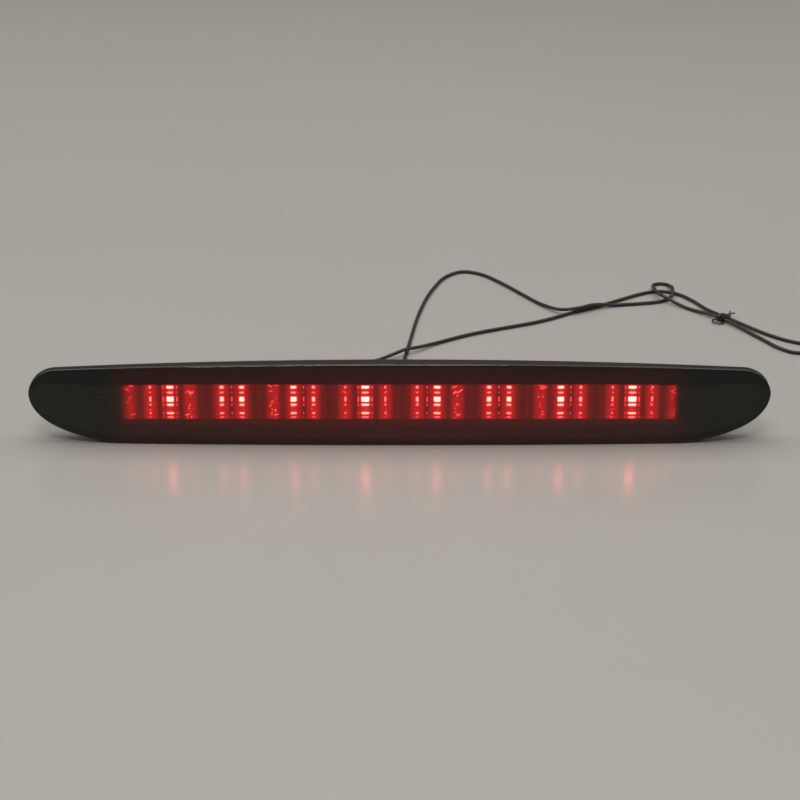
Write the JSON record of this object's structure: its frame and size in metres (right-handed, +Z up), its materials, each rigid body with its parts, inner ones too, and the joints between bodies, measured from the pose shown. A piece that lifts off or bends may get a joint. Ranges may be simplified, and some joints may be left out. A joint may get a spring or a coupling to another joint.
{
  "type": "third brake light",
  "caption": "Long slim high-level brake light with a smoked lens, LED light unit, black housing, spring clips and a loose two-wire lead with a plug.",
  "frame": {"origin": "middle of the lamp's underside, where it stands, below the middle of its length and depth, leaving out the loose leads", "axes": "+X along the lamp, lens facing -Y, +Z up"},
  "size_m": [0.4418, 0.2736, 0.0416],
  "materials": {
    "lens_smoked": "polished smoked acrylic",
    "housing_black": "fine moulded grain",
    "bezel_black": "satin",
    "optic_red": "clear red, in small lens cells",
    "reflector_bright": "vacuum metallised, faceted",
    "board_green": "solder mask",
    "led_red": "clear red epoxy",
    "resistor_beige": "lacquer",
    "diode_black": "moulded epoxy",
    "nylon_natural": "moulded",
    "seal_rubber": "matt",
    "gasket_foam": "closed-cell foam",
    "spring_steel": "stamped strip",
    "screw_zinc": "zinc plated",
    "wire_pvc": "extruded insulation",
    "tie_black": "plastic-covered wire",
    "contact_tin": "tin plated"
  },
  "bodies": {
    "root": {"outer_lens": "lens_smoked", "lens_seal": "seal_rubber", "bezel": "bezel_black", "inner_optic": "optic_red", "reflector": "reflector_bright", "circuit_board": "board_green", "wire_header": "nylon_natural", "diode": "diode_black", "inner_lead_1": "wire_pvc", "inner_lead_2": "wire_pvc", "rear_housing": "housing_black", "foam_gasket": "gasket_foam", "wire_grommet": "seal_rubber", "vent_cap": "housing_black", "clip_base_left": "spring_steel", "clip_base_right": "spring_steel", "clip_screw_left": "screw_zinc", "clip_screw_right": "screw_zinc", "positive_lead": "wire_pvc", "negative_lead": "wire_pvc", "wire_tie": "tie_black", "plug_body": "nylon_natural", "plug_contact_1": "contact_tin", "plug_contact_2": "contact_tin", "led_1": "led_red", "led_2": "led_red", "led_3": "led_red", "led_4": "led_red", "led_5": "led_red", "led_6": "led_red", "led_7": "led_red", "led_8": "led_red", "resistor_1": "resistor_beige", "resistor_2": "resistor_beige", "resistor_3": "resistor_beige", "resistor_4": "resistor_beige", "board_screw_1": "screw_zinc", "board_screw_2": "screw_zinc", "board_screw_3": "screw_zinc", "board_screw_4": "screw_zinc"},
    "clip_left": {"clip_arm_left": "spring_steel"},
    "clip_right": {"clip_arm_right": "spring_steel"}
  },
  "joints": [
    {"name": "clip_left_flex", "type": "hinge", "parent": "root", "child": "clip_left", "pos_m": [-0.1554, 0.0151, 0.019], "axis": [0, 0, 1], "range_deg": [0, 12], "stiffness_Nm_per_rad": 0.25},
    {"name": "clip_right_flex", "type": "hinge", "parent": "root", "child": "clip_right", "pos_m": [0.1554, 0.0151, 0.019], "axis": [0, 0, -1], "range_deg": [0, 12], "stiffness_Nm_per_rad": 0.25}
  ]
}
